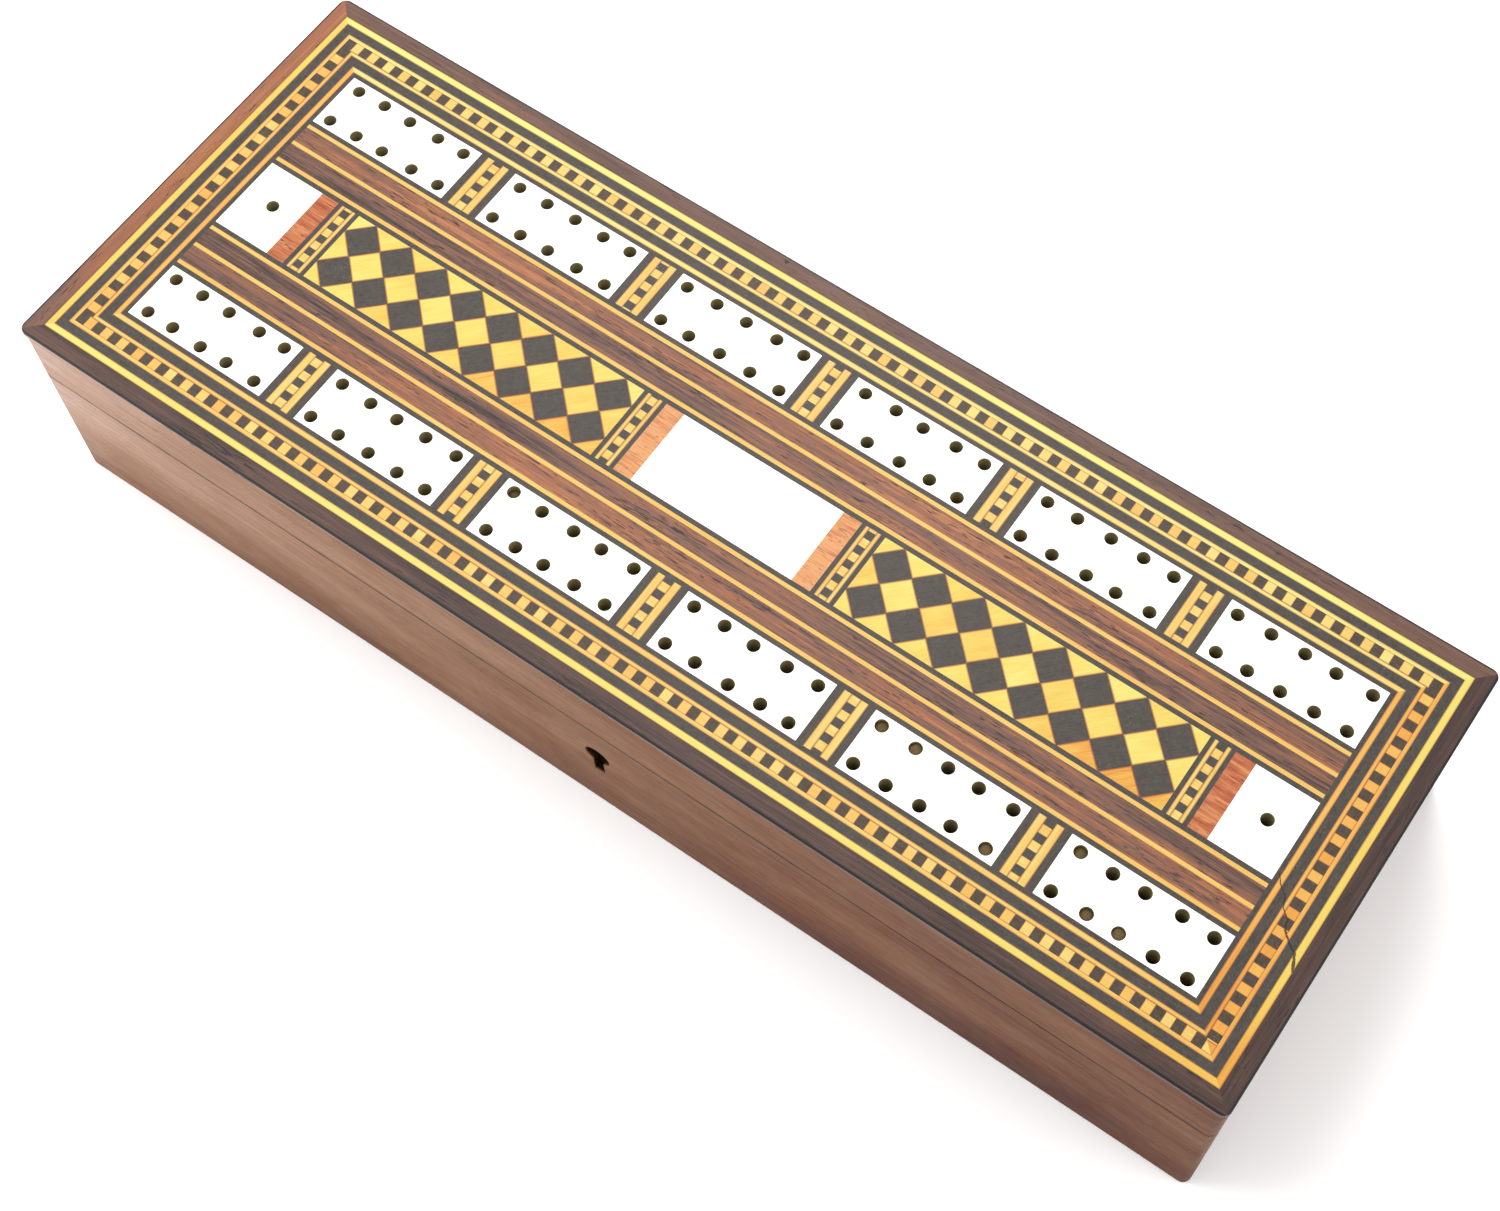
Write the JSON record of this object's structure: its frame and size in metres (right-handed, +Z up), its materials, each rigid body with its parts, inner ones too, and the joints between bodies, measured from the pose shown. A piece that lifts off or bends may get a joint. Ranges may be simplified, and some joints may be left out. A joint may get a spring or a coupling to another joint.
{
  "type": "cribbage board box",
  "caption": "Hinged wooden box whose inlaid lid is a cribbage board with bone peg plates; card wells inside and a lock in the front.",
  "frame": {"origin": "middle of the underside", "axes": "+X to the right along the length when facing the keyhole, -Y out of the front wall, +Y to the hinged back, +Z up"},
  "size_m": [0.275, 0.1, 0.0534],
  "materials": {
    "bone": "satin",
    "satinwood": "satin",
    "boxwood": "satin",
    "ebony": "satin",
    "tulipwood": "satin",
    "rosewood": "satin",
    "carcass_rosewood": "satin",
    "inner_wood": "matte",
    "steel": "satin",
    "brass": "satin"
  },
  "bodies": {
    "box": {"base_back_wall": "carcass_rosewood", "base_front_wall": "carcass_rosewood", "base_left_wall": "carcass_rosewood", "base_right_wall": "carcass_rosewood", "bottom_board": "inner_wood", "box_hinge_leaves": "brass", "box_hinge_screws": "brass", "hinge_pins": "steel", "key_pin": "steel", "left_divider": "inner_wood", "lock_case": "brass", "lock_plate": "brass", "lock_screws": "brass", "right_divider": "inner_wood"},
    "lid": {"band_boxwood_lines": "boxwood", "band_ebony_lines": "ebony", "border_boxwood_squares": "boxwood", "border_ebony_squares": "ebony", "boxwood_fillet": "boxwood", "boxwood_inner_line": "boxwood", "boxwood_outer_line": "boxwood", "centre_plate": "bone", "cross_boxwood_lines": "boxwood", "cross_boxwood_squares": "boxwood", "cross_ebony_lines": "ebony", "cross_ebony_squares": "ebony", "ebony_field_line": "ebony", "ebony_inner_line": "ebony", "ebony_outer_line": "ebony", "end_plate_left": "bone", "end_plate_right": "bone", "lid_back_rail": "carcass_rosewood", "lid_board": "inner_wood", "lid_front_rail": "carcass_rosewood", "lid_hinge_leaves": "brass", "lid_hinge_screws": "brass", "lid_left_rail": "carcass_rosewood", "lid_right_rail": "carcass_rosewood", "parquetry_ebony_diamonds": "ebony", "parquetry_satinwood_diamonds": "satinwood", "peg_plate_back_1": "bone", "peg_plate_back_2": "bone", "peg_plate_back_3": "bone", "peg_plate_back_4": "bone", "peg_plate_back_5": "bone", "peg_plate_back_6": "bone", "peg_plate_front_1": "bone", "peg_plate_front_2": "bone", "peg_plate_front_3": "bone", "peg_plate_front_4": "bone", "peg_plate_front_5": "bone", "peg_plate_front_6": "bone", "rosewood_bands": "rosewood", "rosewood_border": "rosewood", "satinwood_line": "satinwood", "strike_plate": "brass", "strike_screws": "brass", "tulipwood_strips": "tulipwood"},
    "bolt": {"lock_bolt": "steel", "lock_spring": "steel"}
  },
  "joints": [
    {"name": "lid_hinge", "type": "hinge", "parent": "box", "child": "lid", "pos_m": [0, 0.04815, 0.03698], "axis": [-1, 0, 0], "range_deg": [0, 95]},
    {"name": "bolt_slide", "type": "slide", "parent": "box", "child": "bolt", "axis": [-1, 0, 0], "range_m": [0, 0.0022]}
  ]
}
